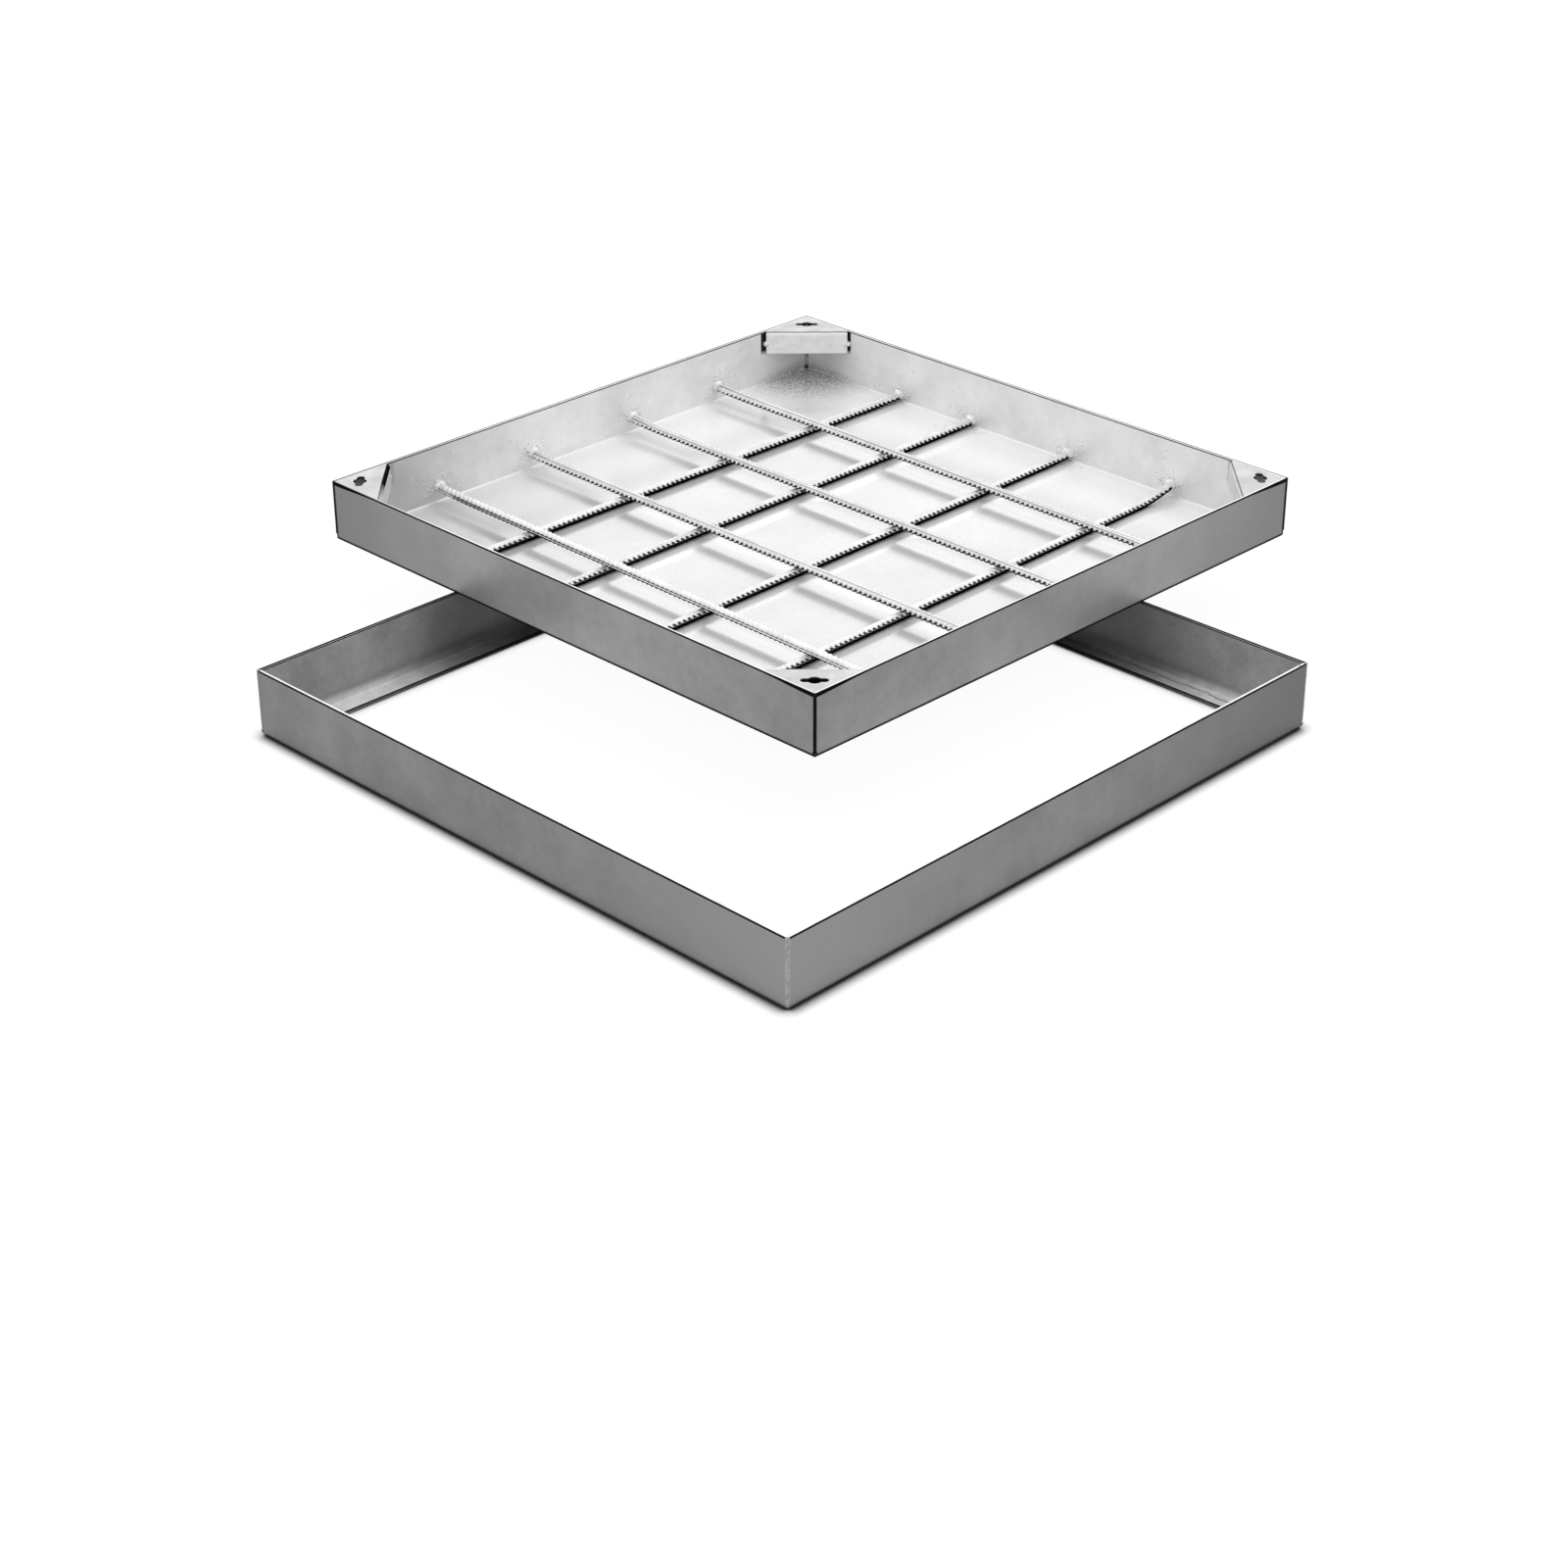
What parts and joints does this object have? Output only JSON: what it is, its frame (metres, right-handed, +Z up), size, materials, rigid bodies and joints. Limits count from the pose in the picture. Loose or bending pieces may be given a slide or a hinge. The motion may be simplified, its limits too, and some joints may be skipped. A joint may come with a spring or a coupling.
{
  "type": "recessed paving cover",
  "caption": "Square galvanised steel cover tray with ribbed bars and keyhole lifting corners, lifted out to lie across its angle frame, ready for mortar and paving infill.",
  "frame": {"origin": "middle of the whole set's footprint, on the ground that the frame stands on", "axes": "+Z up. The frame's sides lie along X and Y. The tray is pushed back towards +X and +Y, so +X is the set's longest extent. The picture looks from the corner at -X and -Y."},
  "size_m": [0.794, 0.757, 0.115],
  "materials": {
    "frame_sheet": "folded sheet, hot-dip galvanised, dull",
    "tray_sheet": "folded sheet, hot-dip galvanised, satin inside, dull outside",
    "ribbed_bar": "hot-rolled ribbed bar, galvanised, bright",
    "weld_metal": "weld metal under zinc, rough"
  },
  "bodies": {
    "root": {"frame_rail_front": "frame_sheet", "frame_rail_right": "frame_sheet", "frame_rail_back": "frame_sheet", "frame_rail_left": "frame_sheet", "frame_corner_welds": "weld_metal", "tray_pan": "tray_sheet", "tray_corner_welds": "weld_metal", "corner_plate_front_left": "tray_sheet", "corner_plate_front_right": "tray_sheet", "corner_plate_back_right": "tray_sheet", "corner_plate_back_left": "tray_sheet", "corner_plate_welds": "weld_metal", "lower_bar_1": "ribbed_bar", "lower_bar_2": "ribbed_bar", "lower_bar_3": "ribbed_bar", "lower_bar_4": "ribbed_bar", "lower_bar_end_welds": "weld_metal", "upper_bar_1": "ribbed_bar", "upper_bar_2": "ribbed_bar", "upper_bar_3": "ribbed_bar", "upper_bar_4": "ribbed_bar", "upper_bar_end_welds": "weld_metal"}
  },
  "joints": []
}
